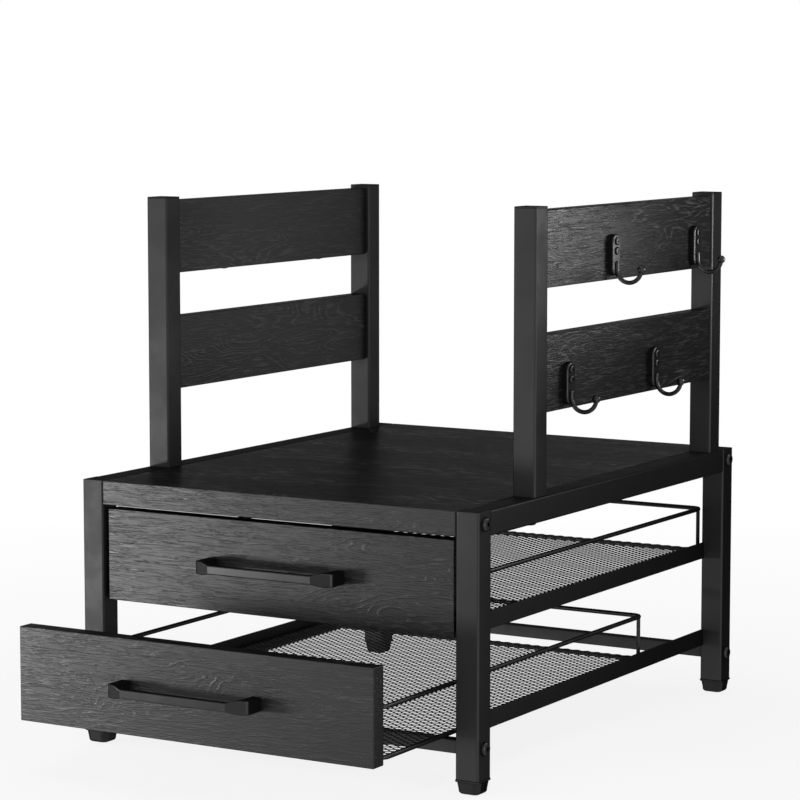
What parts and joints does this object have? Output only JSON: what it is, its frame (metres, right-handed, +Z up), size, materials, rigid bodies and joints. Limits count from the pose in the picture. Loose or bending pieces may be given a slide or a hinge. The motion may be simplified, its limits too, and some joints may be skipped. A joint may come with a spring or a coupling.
{
  "type": "coffee station organizer",
  "caption": "Black steel and wood-grain stand with two pull-out mesh drawers, a board deck for a coffee machine and a slatted mug rack with hooks on each side.",
  "frame": {"origin": "on the worktop, in the middle of the four feet", "axes": "+Z up, -Y towards the drawer pulls (the front), +X to the right seen from the front"},
  "size_m": [0.3806, 0.5372, 0.3984],
  "materials": {
    "frame": "satin black powder coat",
    "board": "matte black with an embossed oak grain",
    "wire": "satin black powder coat",
    "mesh": "satin black powder coat",
    "fitting": "satin black paint",
    "fastener": "black oxide",
    "plastic": "moulded black plastic"
  },
  "bodies": {
    "frame": {"frame_bolts": "fastener", "front_crossbar": "frame", "front_left_foot": "plastic", "front_left_post": "frame", "front_left_rack_post": "frame", "front_right_foot": "plastic", "front_right_post": "frame", "front_right_rack_post": "frame", "hook_screws": "fastener", "left_lower_front_hook": "fitting", "left_lower_rear_hook": "fitting", "left_lower_slat": "board", "left_top_rail": "frame", "left_upper_front_hook": "fitting", "left_upper_rear_hook": "fitting", "left_upper_slat": "board", "lower_left_runner": "frame", "lower_right_runner": "frame", "rack_bolts": "fastener", "rack_post_caps": "plastic", "rear_crossbar": "frame", "rear_left_foot": "plastic", "rear_left_post": "frame", "rear_left_rack_post": "frame", "rear_right_foot": "plastic", "rear_right_post": "frame", "rear_right_rack_post": "frame", "right_lower_front_hook": "fitting", "right_lower_rear_hook": "fitting", "right_lower_slat": "board", "right_top_rail": "frame", "right_upper_front_hook": "fitting", "right_upper_rear_hook": "fitting", "right_upper_slat": "board", "slat_pins": "fastener", "top_board": "board", "upper_left_runner": "frame", "upper_right_runner": "frame"},
    "upper_drawer": {"upper_drawer_front": "board", "upper_pull": "fitting", "upper_pull_screws": "fastener", "upper_basket_rim": "wire", "upper_basket_base": "wire", "upper_basket_uprights": "wire", "upper_basket_brackets": "fitting", "upper_bracket_screws": "fastener", "upper_basket_floor": "mesh"},
    "lower_drawer": {"lower_drawer_front": "board", "lower_pull": "fitting", "lower_pull_screws": "fastener", "lower_basket_rim": "wire", "lower_basket_base": "wire", "lower_basket_uprights": "wire", "lower_basket_brackets": "fitting", "lower_bracket_screws": "fastener", "lower_basket_floor": "mesh"}
  },
  "joints": [
    {"name": "upper_drawer_slide", "type": "slide", "parent": "frame", "child": "upper_drawer", "axis": [0, -1, 0], "range_m": [0, 0.28]},
    {"name": "lower_drawer_slide", "type": "slide", "parent": "frame", "child": "lower_drawer", "axis": [0, -1, 0], "range_m": [-0.1057, 0.1743]}
  ]
}
